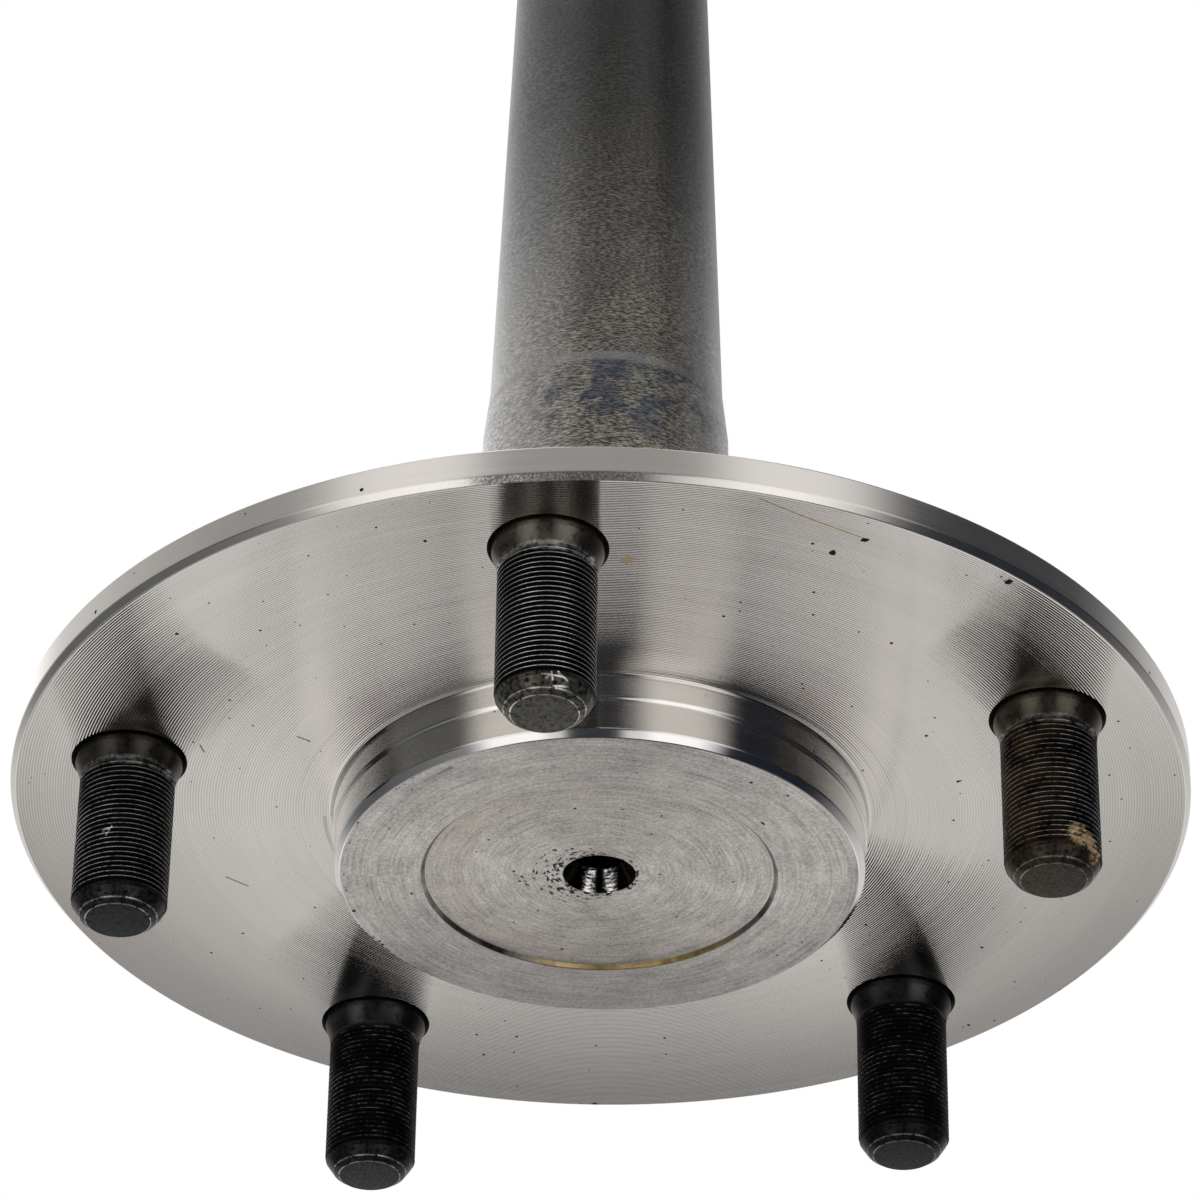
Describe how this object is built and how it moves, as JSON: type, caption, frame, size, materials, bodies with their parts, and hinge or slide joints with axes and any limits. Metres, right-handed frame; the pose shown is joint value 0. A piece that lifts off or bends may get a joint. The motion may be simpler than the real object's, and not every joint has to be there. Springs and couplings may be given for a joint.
{
  "type": "axle shaft",
  "caption": "Steel axle shaft with a round wheel flange, pressed-in wheel studs, a stepped pilot, a bearing journal, a tapered neck and a splined inner end.",
  "frame": {"origin": "on the shaft's axis, level with the tips of the wheel studs", "axes": "+Z along the shaft towards the splined end; -Y towards the viewer of the picture"},
  "size_m": [0.1732, 0.1732, 0.807],
  "materials": {
    "axle_steel": "turned satin steel on the flange, dark mottled forged steel along the shaft",
    "stud_black": "black phosphate with bare crests"
  },
  "bodies": {
    "root": {"axle_shaft": "axle_steel", "wheel_studs": "stud_black"}
  },
  "joints": []
}
